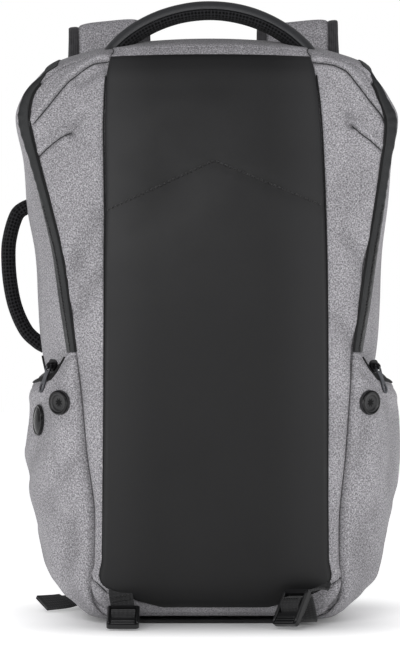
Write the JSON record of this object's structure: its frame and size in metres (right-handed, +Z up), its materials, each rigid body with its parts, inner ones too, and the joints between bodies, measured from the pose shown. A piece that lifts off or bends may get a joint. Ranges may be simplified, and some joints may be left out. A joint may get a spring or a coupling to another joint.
{
  "type": "backpack",
  "caption": "Upright city backpack with a hidden main zip, smooth front panel, side pockets, carry handles and padded shoulder straps.",
  "frame": {"origin": "middle of the base face, on the surface that the pack stands on", "axes": "+X to the right seen from the front, +Y towards the back panel, +Z up"},
  "size_m": [0.3476, 0.251, 0.5378],
  "materials": {
    "melange_cloth": "grey melange woven polyester",
    "coated_cloth": "smooth matt coated cloth",
    "band_cloth": "dark coated cloth",
    "spacer_mesh": "knitted spacer mesh",
    "webbing": "ribbed woven webbing and binding",
    "moulded_plastic": "moulded, slightly glossy",
    "port_rubber": "moulded rubber",
    "puller_metal": "dark plated metal"
  },
  "bodies": {
    "pack": {"body_shell": "melange_cloth", "pocket_left": "melange_cloth", "pocket_right": "melange_cloth", "shoulder_strap_left": "melange_cloth", "shoulder_strap_right": "melange_cloth", "front_panel": "coated_cloth", "base_panel": "coated_cloth", "zip_band_left": "band_cloth", "zip_band_right": "band_cloth", "pocket_zip_left": "band_cloth", "pocket_zip_right": "band_cloth", "top_handle": "band_cloth", "back_panel": "spacer_mesh", "top_handle_grip": "spacer_mesh", "side_handle": "spacer_mesh", "side_handle_tab": "webbing", "strap_binding_left_inner": "webbing", "strap_binding_left_outer": "webbing", "strap_binding_right_inner": "webbing", "strap_binding_right_outer": "webbing", "strap_web_left": "webbing", "strap_web_right": "webbing", "base_web_left": "webbing", "base_web_right": "webbing", "side_port": "moulded_plastic", "zip_slider_left": "moulded_plastic", "zip_slider_right": "moulded_plastic", "strap_buckle_left": "moulded_plastic", "strap_buckle_right": "moulded_plastic", "base_buckle_left": "moulded_plastic", "base_buckle_right": "moulded_plastic", "eyelet_left": "port_rubber", "eyelet_right": "port_rubber"},
    "puller_left": {"zip_puller_left": "puller_metal"},
    "puller_right": {"zip_puller_right": "puller_metal"}
  },
  "joints": [
    {"name": "puller_left_swing", "type": "hinge", "parent": "pack", "child": "puller_left", "pos_m": [-0.14044, -0.05557, 0.22003], "axis": [-0.6262, 0.6478, 0.4339], "range_deg": [0, 110]},
    {"name": "puller_right_swing", "type": "hinge", "parent": "pack", "child": "puller_right", "pos_m": [0.14122, -0.05757, 0.21951], "axis": [-0.6262, -0.6478, -0.4339], "range_deg": [0, 110]}
  ]
}
